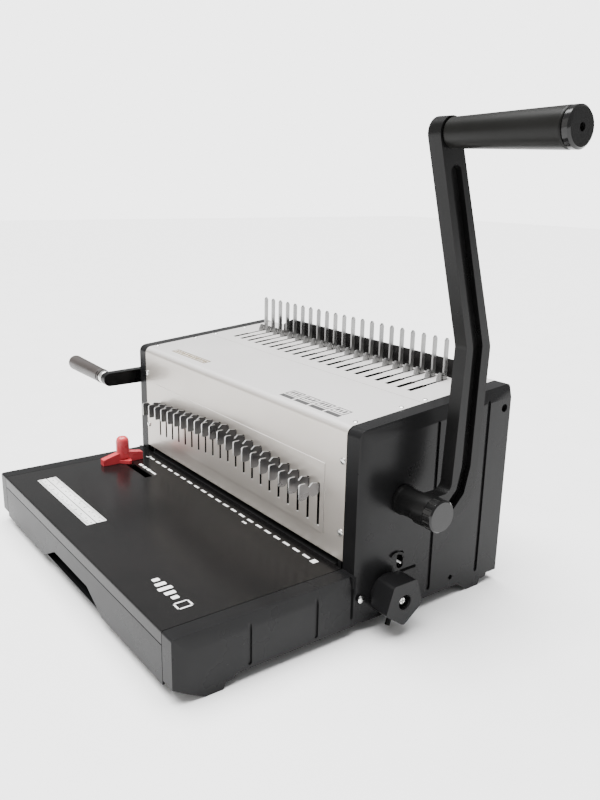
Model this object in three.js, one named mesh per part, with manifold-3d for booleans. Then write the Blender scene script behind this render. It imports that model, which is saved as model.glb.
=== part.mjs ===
// Manual comb binding machine, as an assembly of separate pieces.
// Millimetres, +Z up. The user stands on the -Y side; +X is the user's right.
// Inside the machine frame Y = 0 is the row of comb pins, X = 0 the middle hole
// and Z = 0 the table. The finished group is shifted so that its origin is the
// middle of the bounding box's bottom.

import * as THREE from 'three';
import { mergeVertices } from 'three/addons/utils/BufferGeometryUtils.js';
import Module from 'manifold-3d';

const wasm = await Module();
wasm.setup();

// ---------------------------------------------------------------- dimensions

// Comb binding standard
const HOLES = 21;
const PITCH = 14.2875;
const HOLE_W = 8.3;
const HOLE_D = 3.3;

// Casing
const HALF_W = 176;
const COVER_T = 17.5;
const OUTER_X = HALF_W + COVER_T;
const FRONT_Y = -302;
const FACE_Y = -140;
const REAR_Y = 32;
const TOP_REAR_Z = 187.4;
const TOP_SLOPE = 0.0886;
const DECK_Z = 52.3;
const FACE_BOTTOM_Z = 58.4;
const COVER_BOTTOM_Z = 9;
const SHEET = 1.5;
const GAP = 0.3;
const COVER_WALL = 3;
const CHAMFER_IN = 3;
const CHAMFER_W = 12;
const TOP_SEAM_Y = -58.2;
const SPLIT_Y = -143.6;

// Steel frame plates
const PLATE_X = 166;
const PLATE_T = 4;
const SPRING_TOP_Z = 164;

// Punch line and stroke
const HOLE_Y = -122;
const STAGGER = 12.3;
const THROAT_TOP_Z = 57.8;
const DIE_BOTTOM_Z = 42;
const GUIDE_TOP_Z = 74;
const TIP_Z = 59;
const TAB_Z = 111.3;
const SLOT_BOTTOM_Z = 78;
const SLOT_TOP_Z = 116;
const TAB_T = 1.5;

// Punch lever
const SHAFT_Y = -94;
const SHAFT_Z = 108.6;
const SHAFT_R = 9;
const CRANK_X = 120;
const CRANK_T = 8;
const CRANK_REACH = 15;
const CRANK_RISE = 12;
const ARM_X = 216;
const ARM_T = 12;
const CAP_R = 13.2;
const CAP_END_X = 237.5;
const GRIP_Y = -102;
const GRIP_Z = 387.5;
const GRIP_R = 12.7;
const GRIP_NEAR_R = 10.3;
const GRIP_END_X = 328.5;

// Comb pins and opener
const PIN_TOP_Z = 222.7;
const PIN_DEPTH = 2;
const REST_TOP_Z = 202;
const HOOK_TOP_Z = 191.5;
const OPENER_Y = -25;
const OPENER_Z = 136;
const OPENER_END_Z = 134;
const OPENER_R = 6;
const OPENER_TRAVEL = 32;
const OPENER_ARM_X = -199;
const OPENER_ARM_T = 10;
const OPENER_REACH = 148;
const OPENER_GRIP_R = 8.9;
const OPENER_NEAR_R = 7.9;
const OPENER_TIP_X = -308;
const CARRIAGE_PIN_Z = 169.5;

// Depth knob
const KNOB_Y = -108.8;
const KNOB_Z = 31.5;
const KNOB_R = 21;
const KNOB_END_X = 218;

// Chip tray
const TRAY_HALF_W = 163;
const TRAY_REAR_Y = -62;
const TRAY_TOP_Z = 33;
const FRONT_SPLIT_Z = 41.3;

// -------------------------------------------------------------- solid helpers

function solid(geometry) {
  const plain = geometry.index ? geometry.toNonIndexed() : geometry.clone();
  plain.deleteAttribute('normal');
  plain.deleteAttribute('uv');
  const merged = mergeVertices(plain, 1e-4);
  return new wasm.Manifold(new wasm.Mesh({
    numProp: 3,
    vertProperties: new Float32Array(merged.attributes.position.array),
    triVerts: new Uint32Array(merged.index.array),
  }));
}

function join(...solids) {
  return solids.reduce((sum, next) => sum.add(next));
}

function cut(body, ...tools) {
  return tools.reduce((rest, tool) => rest.subtract(tool), body);
}

function box(x0, x1, y0, y1, z0, z1) {
  const geometry = new THREE.BoxGeometry(x1 - x0, y1 - y0, z1 - z0);
  geometry.translate((x0 + x1) / 2, (y0 + y1) / 2, (z0 + z1) / 2);
  return solid(geometry);
}

// Closed outline through [u, v, radius] corners. Corners with a radius are arcs.
function outline(corners, arcSteps = 5) {
  const points = [];
  corners.forEach(([u, v, radius = 0], i) => {
    const here = new THREE.Vector2(u, v);
    if (radius === 0) {
      points.push(here);
      return;
    }
    const before = corners[(i + corners.length - 1) % corners.length];
    const after = corners[(i + 1) % corners.length];
    const toBefore = new THREE.Vector2(before[0] - u, before[1] - v).normalize();
    const toAfter = new THREE.Vector2(after[0] - u, after[1] - v).normalize();
    const half = Math.acos(THREE.MathUtils.clamp(toBefore.dot(toAfter), -1, 1)) / 2;
    const start = here.clone().addScaledVector(toBefore, radius / Math.tan(half));
    const end = here.clone().addScaledVector(toAfter, radius / Math.tan(half));
    const middle = toBefore.clone().add(toAfter).normalize();
    const centre = here.clone().addScaledVector(middle, radius / Math.sin(half));
    const from = start.clone().sub(centre).angle();
    let sweep = end.clone().sub(centre).angle() - from;
    if (sweep > Math.PI) sweep -= 2 * Math.PI;
    if (sweep < -Math.PI) sweep += 2 * Math.PI;
    for (let k = 0; k <= arcSteps; k++) {
      const angle = from + (sweep * k) / arcSteps;
      points.push(new THREE.Vector2(
        centre.x + radius * Math.cos(angle),
        centre.y + radius * Math.sin(angle),
      ));
    }
  });
  return new THREE.Shape(points);
}

const AXES = {
  x: [new THREE.Vector3(0, 1, 0), new THREE.Vector3(0, 0, 1), new THREE.Vector3(1, 0, 0)],
  y: [new THREE.Vector3(0, 0, 1), new THREE.Vector3(1, 0, 0), new THREE.Vector3(0, 1, 0)],
  z: [new THREE.Vector3(1, 0, 0), new THREE.Vector3(0, 1, 0), new THREE.Vector3(0, 0, 1)],
};

// Prism of an outline. Along x the outline is (y, z), along y it is (z, x), along z (x, y).
function prism(axis, shape, from, to) {
  const geometry = new THREE.ExtrudeGeometry(shape, { depth: to - from, steps: 1, bevelEnabled: false });
  geometry.translate(0, 0, from);
  geometry.applyMatrix4(new THREE.Matrix4().makeBasis(...AXES[axis]));
  return solid(geometry);
}

// Round bar along X, with optional bore.
function barX(radius, x0, x1, y, z, sides = 32, bore = 0) {
  const profile = [
    new THREE.Vector2(bore, x0),
    new THREE.Vector2(radius, x0),
    new THREE.Vector2(radius, x1),
    new THREE.Vector2(bore, x1),
  ];
  if (bore > 0) profile.push(new THREE.Vector2(bore, x0));
  return turned(profile, y, z, sides);
}

// Body turned about an X axis through (y, z). The profile is (radius, x).
function turned(profile, y, z, sides = 32) {
  const geometry = new THREE.LatheGeometry(profile, sides);
  const turn = new THREE.Matrix4().makeBasis(
    new THREE.Vector3(0, 0, 1),
    new THREE.Vector3(1, 0, 0),
    new THREE.Vector3(0, 1, 0),
  );
  geometry.applyMatrix4(turn);
  geometry.translate(0, y, z);
  return solid(geometry);
}

// Straight runs with round joints, as an endmill would leave them, along X.
function track(points, halfWidth, x0, x1, sides = 16) {
  const runs = [];
  points.forEach(([y, z], i) => {
    runs.push(barX(halfWidth, x0, x1, y, z, sides));
    if (i === 0) return;
    const [y0, z0] = points[i - 1];
    const length = Math.hypot(y - y0, z - z0);
    const side = [(-(z - z0) / length) * halfWidth, ((y - y0) / length) * halfWidth];
    runs.push(prism('x', outline([
      [y0 + side[0], z0 + side[1]],
      [y0 - side[0], z0 - side[1]],
      [y - side[0], z - side[1]],
      [y + side[0], z + side[1]],
    ]), x0, x1));
  });
  return join(...runs);
}

function mirrorX(body) {
  return body.mirror([1, 0, 0]);
}

// The top falls away towards the user.
const topAt = (y) => TOP_REAR_Z - TOP_SLOPE * (REAR_Y - y);

const machine = new THREE.Group();

const FINISH = {
  silver: { color: 0xc9c4bb, roughness: 0.42, metalness: 0.35 },
  blackPlastic: { color: 0x242426, roughness: 0.38, metalness: 0 },
  blackSheet: { color: 0x1b1b1c, roughness: 0.55, metalness: 0.2 },
  blackCast: { color: 0x1e1e1f, roughness: 0.4, metalness: 0.3 },
  steel: { color: 0xb4b4b0, roughness: 0.3, metalness: 0.9 },
  zinc: { color: 0xd2d2cf, roughness: 0.25, metalness: 0.95 },
  red: { color: 0xb8343c, roughness: 0.35, metalness: 0 },
  rubber: { color: 0x2a2a2b, roughness: 0.6, metalness: 0 },
};

function add(name, body, finish) {
  const { vertProperties, triVerts } = body.getMesh();
  const geometry = new THREE.BufferGeometry();
  geometry.setAttribute('position', new THREE.BufferAttribute(new Float32Array(vertProperties), 3));
  geometry.setIndex(new THREE.BufferAttribute(new Uint32Array(triVerts), 1));
  geometry.computeVertexNormals();
  const mesh = new THREE.Mesh(geometry, new THREE.MeshStandardMaterial(FINISH[finish]));
  mesh.name = name;
  machine.add(mesh);
}

const holeX = (i) => (i - (HOLES - 1) / 2) * PITCH;
const stagger = (i) => STAGGER * (1 - Math.abs(2 * i / (HOLES - 1) - 1));
const eachHole = (make) => Array.from({ length: HOLES }, (_, i) => make(holeX(i), i));

// ------------------------------------------------------------- frame and base

const BASE_HALF_W = 171.8;
const PAN_Z = 7.5;

function basePan() {
  const front = FRONT_Y + 4;
  const rear = REAR_Y - 3;
  const floor = box(-BASE_HALF_W, BASE_HALF_W, front, rear, PAN_Z, PAN_Z + SHEET);
  const side = box(BASE_HALF_W - SHEET, BASE_HALF_W, front, rear, PAN_Z, 48);
  const knobHole = barX(5, BASE_HALF_W - 3, BASE_HALF_W + 1, KNOB_Y, KNOB_Z, 24);
  return join(floor, cut(side, knobHole), mirrorX(side));
}

function framePlate() {
  const plate = prism('x', outline([
    [-136.5, 9.4],
    [28, 9.4],
    [28, topAt(28) - 3, 6],
    [-128, topAt(-128) - 3, 12],
    [-136.5, 150],
  ]), PLATE_X, PLATE_X + PLATE_T);
  const springLug = box(138, PLATE_X + 1, -129, -115, SPRING_TOP_Z + GAP, SPRING_TOP_Z + 4);
  const shaftHole = barX(SHAFT_R + GAP, PLATE_X - 1, PLATE_X + 5, SHAFT_Y, SHAFT_Z);
  const openerHole = barX(OPENER_R + GAP, PLATE_X - 1, PLATE_X + 5, OPENER_Y, OPENER_Z);
  const beamSlot = box(PLATE_X - 1, PLATE_X + 5, -129.5, -116.5, 86, 131.5);
  return cut(join(plate, springLug), shaftHole, openerHole, beamSlot);
}

function framePlateRight() {
  return cut(framePlate(), barX(5, PLATE_X - 1, PLATE_X + 5, KNOB_Y, KNOB_Z));
}

function deckPlate() {
  const half = HALF_W - GAP;
  const sheet = prism('x', outline([
    [FRONT_Y, FRONT_SPLIT_Z + GAP],
    [FRONT_Y + SHEET, FRONT_SPLIT_Z + GAP],
    [FRONT_Y + SHEET, DECK_Z - SHEET],
    [-140.4, DECK_Z - SHEET],
    [-140.4, DECK_Z],
    [FRONT_Y, DECK_Z, 2],
  ]), -half, half);
  return cut(sheet, box(-168, -95, -183, -175, DECK_Z - 3, DECK_Z + 1));
}

function diePlate() {
  const plate = box(-165.5, 165.5, -140, -104, DIE_BOTTOM_Z, DECK_Z - GAP);
  const holes = eachHole((x) => box(
    x - HOLE_W / 2, x + HOLE_W / 2,
    HOLE_Y - HOLE_D / 2, HOLE_Y + HOLE_D / 2,
    DIE_BOTTOM_Z - 1, DECK_Z + 1,
  ));
  return cut(plate, ...holes);
}

function punchGuide() {
  const block = box(-165.5, 165.5, -137.1, -104, THROAT_TOP_Z, GUIDE_TOP_Z);
  const holes = eachHole((x) => box(
    x - HOLE_W / 2, x + HOLE_W / 2,
    HOLE_Y - HOLE_D / 2, HOLE_Y + HOLE_D / 2,
    THROAT_TOP_Z - 1, GUIDE_TOP_Z + 1,
  ));
  return cut(block, ...holes);
}

function chipTray() {
  const floorZ = 10.2;
  const boxFront = FRONT_Y + 15;
  const faceplate = box(-HALF_W + 0.5, HALF_W - 0.5, FRONT_Y, FRONT_Y + 1.8, COVER_BOTTOM_Z, FRONT_SPLIT_Z);
  const fingerArch = prism('y', outline([
    [COVER_BOTTOM_Z - 1, -70],
    [24, -38, 5],
    [24, 38, 5],
    [COVER_BOTTOM_Z - 1, 70],
  ]), FRONT_Y - 1, FRONT_Y + 3);
  const floor = box(-TRAY_HALF_W, TRAY_HALF_W, FRONT_Y + 1, TRAY_REAR_Y, floorZ, floorZ + SHEET);
  const side = box(TRAY_HALF_W - SHEET, TRAY_HALF_W, FRONT_Y + 1, TRAY_REAR_Y, floorZ, TRAY_TOP_Z);
  const front = box(-TRAY_HALF_W, TRAY_HALF_W, boxFront, boxFront + SHEET, floorZ, TRAY_TOP_Z);
  const rear = box(-TRAY_HALF_W, TRAY_HALF_W, TRAY_REAR_Y - SHEET, TRAY_REAR_Y, floorZ, TRAY_TOP_Z);
  return join(cut(faceplate, fingerArch), floor, side, mirrorX(side), front, rear);
}

// --------------------------------------------------------------------- covers

function frontCover() {
  const inner = FACE_Y + SHEET;
  const sheet = prism('x', outline([
    [FACE_Y, FACE_BOTTOM_Z],
    [inner, FACE_BOTTOM_Z],
    [inner, topAt(inner) - SHEET, 5.5],
    [TOP_SEAM_Y - GAP, topAt(TOP_SEAM_Y) - SHEET],
    [TOP_SEAM_Y - GAP, topAt(TOP_SEAM_Y)],
    [FACE_Y, topAt(FACE_Y), 7],
  ], 6), -HALF_W + GAP, HALF_W - GAP);
  const pressedPanel = box(-150, 150, FACE_Y - 0.6, FACE_Y + 0.5, 73.5, 135);
  const slots = eachHole((x, i) => box(
    x - 1.5, x + 1.5,
    FACE_Y - 2, FACE_Y + 3,
    SLOT_BOTTOM_Z + stagger(i), SLOT_TOP_Z + stagger(i),
  ));
  return cut(join(sheet, pressedPanel), ...slots);
}

function topCover() {
  const sheet = prism('x', outline([
    [TOP_SEAM_Y, topAt(TOP_SEAM_Y)],
    [TOP_SEAM_Y, topAt(TOP_SEAM_Y) - SHEET],
    [REAR_Y - SHEET, topAt(REAR_Y) - SHEET, 1.5],
    [REAR_Y - SHEET, 150],
    [REAR_Y, 150],
    [REAR_Y, topAt(REAR_Y), 3],
  ], 4), -HALF_W + GAP, HALF_W - GAP);
  const slots = eachHole((x) => box(x - 1.6, x + 1.6, -44, 4.6, topAt(-44) - 4, topAt(REAR_Y) + 1));
  const slotFronts = eachHole((x) => box(x - 2.6, x + 2.6, -44, -24, topAt(-44) - 4, topAt(REAR_Y) + 1));
  return cut(sheet, ...slots, ...slotFronts);
}

function rearPanel() {
  const half = HALF_W - GAP;
  const panel = box(-half, half, REAR_Y - 1.6, REAR_Y - 0.1, COVER_BOTTOM_Z + 2, 149.7);
  const vents = [];
  for (let row = 0; row < 5; row++) {
    vents.push(box(-60, 60, REAR_Y - 3, REAR_Y + 1, 30 + row * 9, 33 + row * 9));
  }
  return cut(panel, ...vents);
}

// Long outer edges fall away towards the border by CHAMFER_IN over CHAMFER_W.
function frontChamfer(y) {
  return prism('z', outline([
    [OUTER_X - CHAMFER_IN, y - 0.1],
    [OUTER_X + 1, y - 0.1],
    [OUTER_X + 1, y + CHAMFER_W],
    [OUTER_X, y + CHAMFER_W],
  ]), -5, TOP_REAR_Z + 5);
}

function topChamfer(z, slope = 0) {
  const wedge = prism('y', outline([
    [z + 0.1, OUTER_X - CHAMFER_IN],
    [z + 0.1, OUTER_X + 1],
    [z - CHAMFER_W, OUTER_X + 1],
    [z - CHAMFER_W, OUTER_X],
  ]), FRONT_Y - 5, REAR_Y + 5);
  const fall = new THREE.Matrix4().makeShear(0, 0, 0, slope, 0, 0);
  fall.setPosition(0, 0, -slope * REAR_Y);
  return wedge.transform(fall.elements);
}

function sideCover() {
  const inside = HALF_W + GAP;
  const shell = prism('x', outline([
    [SPLIT_Y + GAP, COVER_BOTTOM_Z],
    [-20, COVER_BOTTOM_Z],
    [-7, 0],
    [9, 0],
    [10.5, 5.5],
    [18, 5.5],
    [19.5, COVER_BOTTOM_Z],
    [REAR_Y, COVER_BOTTOM_Z],
    [REAR_Y, topAt(REAR_Y), 3],
    [FACE_Y, topAt(FACE_Y), 8],
    [FACE_Y, DECK_Z],
    [SPLIT_Y + GAP, DECK_Z],
  ]), inside, OUTER_X);
  const hollow = prism('x', outline([
    [-136, 14],
    [REAR_Y - COVER_WALL, 14],
    [REAR_Y - COVER_WALL, topAt(REAR_Y) - COVER_WALL],
    [FACE_Y + COVER_WALL, topAt(FACE_Y) - COVER_WALL, 5],
  ]), inside - 1, OUTER_X - 7);
  const grooveAt = (y, top) => track([[y, 17], [y, top]], 2, OUTER_X - 1.6, OUTER_X + 2, 12);
  return cut(
    shell,
    hollow,
    frontChamfer(FACE_Y),
    topChamfer(TOP_REAR_Z, TOP_SLOPE),
    grooveAt(-57, 166),
    grooveAt(3.5, 174),
    barX(3.6, OUTER_X - 4, OUTER_X + 2, 24, 166.5, 20),
    barX(2.4, OUTER_X - 3, OUTER_X + 2, -29.5, 19, 16),
  );
}

function sideCoverRight() {
  const shaftHole = barX(SHAFT_R + 1, HALF_W - 2, OUTER_X + 2, SHAFT_Y, SHAFT_Z);
  const knobHole = barX(5, HALF_W - 2, OUTER_X + 2, KNOB_Y, KNOB_Z, 24);
  const linkSlot = track([[-92.6, 50.5], [-92.6, 58.5]], 4, OUTER_X - 5, OUTER_X + 2);
  return cut(sideCover(), shaftHole, knobHole, linkSlot);
}

function sideCoverLeft() {
  return cut(mirrorX(sideCover()), barX(OPENER_R + 1, -OUTER_X - 2, -HALF_W + 2, OPENER_Y, OPENER_Z));
}

function baseCover() {
  const inside = HALF_W + GAP;
  const shell = prism('x', outline([
    [FRONT_Y, 13],
    [-280, 1.5],
    [-277.6, 0],
    [-262.5, 0],
    [-261, 5.5],
    [-253.5, 5.5],
    [-251.7, COVER_BOTTOM_Z],
    [SPLIT_Y, COVER_BOTTOM_Z],
    [SPLIT_Y, DECK_Z],
    [FRONT_Y, DECK_Z, 2],
  ]), inside, OUTER_X);
  const hollow = box(
    inside - 1, OUTER_X - 7,
    FRONT_Y + COVER_WALL, SPLIT_Y - COVER_WALL,
    16, DECK_Z - COVER_WALL,
  );
  const grooves = [-240, -178.8].map((y) => track([[y, 13], [y, 44]], 1.6, OUTER_X - 1.4, OUTER_X + 2, 12));
  return cut(shell, hollow, frontChamfer(FRONT_Y), topChamfer(DECK_Z), ...grooves);
}

// ---------------------------------------------------------------- punch train

const BEAM_FRONT_Y = -136.8;
const BEAM_TOP_Z = 138;
const RAIL_TOP_Z = 106.6;

function punchBeam() {
  const main = box(-162, 162, BEAM_FRONT_Y, -112.5, RAIL_TOP_Z + 0.4, BEAM_TOP_Z);
  const lip = box(-162, 162, BEAM_FRONT_Y, -127, 100, BEAM_TOP_Z);
  const guideLug = box(160, PLATE_X + 3.5, -129, -117, 110, 130);
  const pocket = box(CRANK_X - 8.5, CRANK_X + 8.5, -120.5, -110, 98, 140);
  const ear = box(CRANK_X + 5, CRANK_X + 8.5, -121, SHAFT_Y - SHAFT_R - 1.5, SHAFT_Z + 6, SHAFT_Z + 18);
  const ears = join(ear, ear.translate([-13.5, 0, 0]));
  const pin = barX(3, CRANK_X - 7, CRANK_X + 7, SHAFT_Y - CRANK_REACH, SHAFT_Z + CRANK_RISE, 20);
  const half = join(ears, pin);
  const slits = eachHole((x) => box(x - 1.05, x + 1.05, BEAM_FRONT_Y - 1, -127.2, 99, 139));
  return join(
    cut(main, pocket, mirrorX(pocket)),
    lip,
    guideLug,
    mirrorX(guideLug),
    half,
    mirrorX(half),
  ).subtract(join(...slits));
}

function punchSet() {
  const rail = box(-150, 150, -126.6, -117.5, 98.6, RAIL_TOP_Z);
  const punches = eachHole((x, i) => box(x - 4, x + 4, HOLE_Y - 1.5, HOLE_Y + 1.5, TIP_Z + stagger(i), 99));
  return join(rail, ...punches);
}

// Flat pull tab: a fishtail outside the cover, a neck through the slot.
function pullTab(x, i) {
  const z = TAB_Z + stagger(i);
  const upper = [
    [-21, 7, 1.5],
    [-14.5, 7, 1.5],
    [-11, 3],
    [-7.5, 6, 1],
    [-2.2, 5, 1],
    [-1.2, 3.5],
    [11.6, 3.5],
  ];
  const lower = upper.slice().reverse().map(([y, up, r]) => [y, -up, r]);
  const shape = outline([...upper, ...lower].map(([y, up, r]) => [FACE_Y + y, z + up, r]), 2);
  return prism('x', shape, x - TAB_T / 2, x + TAB_T / 2);
}

function crank() {
  const half = CRANK_T / 2;
  const hub = barX(14.5, CRANK_X - half, CRANK_X + half, SHAFT_Y, SHAFT_Z, 32);
  const rise = Math.atan2(CRANK_RISE, CRANK_REACH);
  const along = (r) => [SHAFT_Y - r * Math.cos(rise), SHAFT_Z + r * Math.sin(rise)];
  const arm = track([along(0), along(17)], 7.2, CRANK_X - half, CRANK_X + half, 24);
  const fork = track([along(15.3), along(32)], 3.95, CRANK_X - half - 1, CRANK_X + half + 1, 20);
  const bore = barX(SHAFT_R + GAP, CRANK_X - half - 1, CRANK_X + half + 1, SHAFT_Y, SHAFT_Z, 32);
  return cut(join(hub, arm), fork, bore);
}

function leverHub() {
  return turned([
    new THREE.Vector2(SHAFT_R + GAP, OUTER_X + 0.7),
    new THREE.Vector2(12.5, OUTER_X + 0.7),
    new THREE.Vector2(12.5, OUTER_X + 4),
    new THREE.Vector2(11.6, OUTER_X + 5.5),
    new THREE.Vector2(11.6, ARM_X - GAP),
    new THREE.Vector2(SHAFT_R + GAP, ARM_X - GAP),
    new THREE.Vector2(SHAFT_R + GAP, OUTER_X + 0.7),
  ], SHAFT_Y, SHAFT_Z, 36);
}

function leverArm() {
  const outerX = ARM_X + ARM_T;
  const blade = prism('x', outline([
    [SHAFT_Y, SHAFT_Z - 12],
    [-48.5, 100, 27],
    [-43.8, 235, 14],
    [GRIP_Y + 10.6, GRIP_Z - 3],
    [GRIP_Y - 10.9, GRIP_Z - 3],
    [-70.5, 236, 12],
    [-76, 121.5, 8],
    [SHAFT_Y, SHAFT_Z + 13],
  ], 8), ARM_X, outerX);
  const lowerEye = barX(13, ARM_X, outerX, SHAFT_Y, SHAFT_Z, 32);
  const upperEye = barX(11.3, ARM_X, outerX, GRIP_Y, GRIP_Z, 36);
  const groove = track([[-95.5, 362], [-58.3, 236], [-60.6, 140], [-65.4, 120], [-75, 110.5]], 5.2, outerX - 5, outerX + 2, 20);
  const shaftBore = barX(SHAFT_R + GAP, ARM_X - 1, outerX + 1, SHAFT_Y, SHAFT_Z, 32);
  const spindle = barX(6, outerX - 2, GRIP_END_X - 8, GRIP_Y, GRIP_Z, 20);
  return join(cut(join(blade, lowerEye, upperEye), groove, shaftBore), spindle);
}

function hubCap() {
  const startX = ARM_X + ARM_T + GAP;
  const disc = turned([
    new THREE.Vector2(0, startX),
    new THREE.Vector2(CAP_R, startX),
    new THREE.Vector2(CAP_R, CAP_END_X - 1.2),
    new THREE.Vector2(CAP_R - 1.2, CAP_END_X),
    new THREE.Vector2(0, CAP_END_X),
  ], SHAFT_Y, SHAFT_Z, 48);
  const flutes = [];
  const count = 16;
  for (let i = 0; i < count; i++) {
    const angle = (2 * Math.PI * (i + 0.5)) / count;
    flutes.push(barX(
      1.1, startX - 1, CAP_END_X - 2,
      SHAFT_Y + (CAP_R + 0.3) * Math.cos(angle), SHAFT_Z + (CAP_R + 0.3) * Math.sin(angle), 8,
    ));
  }
  return cut(disc, ...flutes);
}

function gripSleeve() {
  const start = ARM_X + ARM_T + GAP;
  const end = GRIP_END_X - 6.5;
  return turned([
    new THREE.Vector2(6.3, start),
    new THREE.Vector2(GRIP_NEAR_R - 0.8, start),
    new THREE.Vector2(GRIP_NEAR_R, start + 1.5),
    new THREE.Vector2(GRIP_R, end - 1),
    new THREE.Vector2(GRIP_R - 0.8, end),
    new THREE.Vector2(6.3, end),
    new THREE.Vector2(6.3, start),
  ], GRIP_Y, GRIP_Z, 40);
}

function gripEndCap() {
  const start = GRIP_END_X - 6.2;
  const disc = turned([
    new THREE.Vector2(0, start),
    new THREE.Vector2(GRIP_R - 0.8, start),
    new THREE.Vector2(GRIP_R, start + 1),
    new THREE.Vector2(GRIP_R, GRIP_END_X - 1.5),
    new THREE.Vector2(GRIP_R - 1.5, GRIP_END_X),
    new THREE.Vector2(2.6, GRIP_END_X),
    new THREE.Vector2(2.6, GRIP_END_X - 4),
    new THREE.Vector2(0, GRIP_END_X - 4),
  ], GRIP_Y, GRIP_Z, 40);
  return disc;
}

// ---------------------------------------------------------------- comb opener

function combPinRail() {
  const rail = box(-165.7, 165.7, -3, 3, 165, 178);
  const blades = eachHole((x) => prism('x', outline([
    [-PIN_DEPTH, 177],
    [PIN_DEPTH, 177],
    [PIN_DEPTH, PIN_TOP_Z - 2.5],
    [0.5, PIN_TOP_Z],
    [-0.5, PIN_TOP_Z],
    [-PIN_DEPTH, PIN_TOP_Z - 2],
  ]), x - 1, x + 1));
  return join(rail, ...blades);
}

function restPlate() {
  const plate = prism('x', outline([
    [8, topAt(8) + GAP],
    [20, topAt(20) + GAP],
    [20, topAt(20) + GAP + SHEET],
    [9.5, topAt(9.5) + GAP + SHEET],
    [9.5, REST_TOP_Z],
    [8, REST_TOP_Z],
  ]), -118, 156);
  const corner = prism('y', outline([
    [REST_TOP_Z - 8, -119],
    [REST_TOP_Z + 1, -119],
    [REST_TOP_Z + 1, -100],
  ]), 7, 11);
  return cut(plate, corner);
}

function hookCarriage() {
  const front = -13;
  const bar = box(-150, 150, front, -4, 175.3, 178.5);
  const hooks = eachHole((x) => prism('x', outline([
    [-9.5, 178],
    [-4.2, 178],
    [-4.2, HOOK_TOP_Z, 1],
    [-7.2, HOOK_TOP_Z, 1],
    [-9.5, HOOK_TOP_Z - 5],
  ], 2), x - 1.1, x + 1.1));
  const ears = [-1, 1].map((side) => {
    const ear = box(side * 141 - 1.5, side * 141 + 1.5, front, -4, 165, 176);
    const inner = box(side * 129 - 1.5, side * 129 + 1.5, front, -4, 165, 176);
    const pin = barX(2.5, Math.min(side * 129, side * 141), Math.max(side * 129, side * 141), -9, CARRIAGE_PIN_Z, 16);
    return join(ear, inner, pin);
  });
  return join(bar, ...hooks, ...ears);
}

function openerCrank() {
  const x0 = 132;
  const x1 = 138;
  const half = OPENER_TRAVEL / 2;
  const rise = CARRIAGE_PIN_Z - OPENER_Z;
  const length = Math.hypot(half, rise);
  const along = (r) => [OPENER_Y + (r * half) / length, OPENER_Z + (r * rise) / length];
  const hub = barX(11, x0, x1, OPENER_Y, OPENER_Z, 28);
  const arm = track([along(0), along(length - 4)], 5.4, x0, x1, 20);
  const fork = track([along(length - 3.5), along(length + 8)], 3.45, x0 - 1, x1 + 1, 16);
  return cut(join(hub, arm), fork, barX(OPENER_R + GAP, x0 - 1, x1 + 1, OPENER_Y, OPENER_Z, 28));
}

const OPENER_END_Y = OPENER_Y - OPENER_REACH;

function openerArm() {
  const x0 = OPENER_ARM_X - OPENER_ARM_T;
  const x1 = OPENER_ARM_X;
  const blade = prism('x', outline([
    [OPENER_Y, OPENER_Z - 9],
    [OPENER_Y, OPENER_Z + 9],
    [OPENER_END_Y, OPENER_END_Z + 7.4],
    [OPENER_END_Y, OPENER_END_Z - 7.4],
  ]), x0, x1);
  const eye = barX(9.5, x0, x1, OPENER_Y, OPENER_Z, 32);
  const end = barX(7.4, x0, x1, OPENER_END_Y, OPENER_END_Z, 28);
  const collar = barX(6, x0 - 9, x0 + 1, OPENER_END_Y, OPENER_END_Z, 28);
  const spindle = barX(3.5, OPENER_TIP_X + 14, x0, OPENER_END_Y, OPENER_END_Z, 16);
  const bore = barX(OPENER_R + GAP, x0 - 1, x1 + 1, OPENER_Y, OPENER_Z, 28);
  return cut(join(blade, eye, end, collar, spindle), bore);
}

function openerGrip() {
  const start = OPENER_ARM_X - OPENER_ARM_T - 9.3;
  const tip = OPENER_TIP_X;
  const profile = [new THREE.Vector2(0, tip)];
  for (let k = 1; k <= 4; k++) {
    const angle = (k / 4) * (Math.PI / 2);
    profile.push(new THREE.Vector2(
      (OPENER_GRIP_R - 6) + 6 * Math.sin(angle),
      tip + 6 * (1 - Math.cos(angle)),
    ));
  }
  profile.push(
    new THREE.Vector2(OPENER_NEAR_R, start - 6),
    new THREE.Vector2(OPENER_NEAR_R - 0.9, start - 5),
    new THREE.Vector2(OPENER_NEAR_R - 0.9, start - 4),
    new THREE.Vector2(OPENER_NEAR_R, start - 3),
    new THREE.Vector2(OPENER_NEAR_R, start),
    new THREE.Vector2(3.8, start),
    new THREE.Vector2(3.8, tip + 13),
    new THREE.Vector2(0, tip + 13),
  );
  return turned(profile, OPENER_END_Y, OPENER_END_Z, 32);
}

// ----------------------------------------------------- depth knob, edge guide

function depthKnob() {
  const corners = [];
  for (let k = 0; k < 5; k++) {
    const angle = THREE.MathUtils.degToRad(54 + 72 * k);
    corners.push([KNOB_Y + KNOB_R * Math.cos(angle), KNOB_Z + KNOB_R * Math.sin(angle), 3.5]);
  }
  const head = prism('x', outline(corners, 4), OUTER_X + 5, KNOB_END_X);
  const flange = turned([
    new THREE.Vector2(0, OUTER_X + 0.6),
    new THREE.Vector2(15.5, OUTER_X + 0.6),
    new THREE.Vector2(15.5, OUTER_X + 4),
    new THREE.Vector2(14, OUTER_X + 9),
    new THREE.Vector2(0, OUTER_X + 9),
  ], KNOB_Y, KNOB_Z, 40);
  const spindle = barX(4.2, 164.5, OUTER_X + 2, KNOB_Y, KNOB_Z, 20);
  const counterbore = barX(6.4, KNOB_END_X - 6, KNOB_END_X + 1, KNOB_Y, KNOB_Z, 28);
  return cut(join(head, flange, spindle), counterbore);
}

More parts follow.
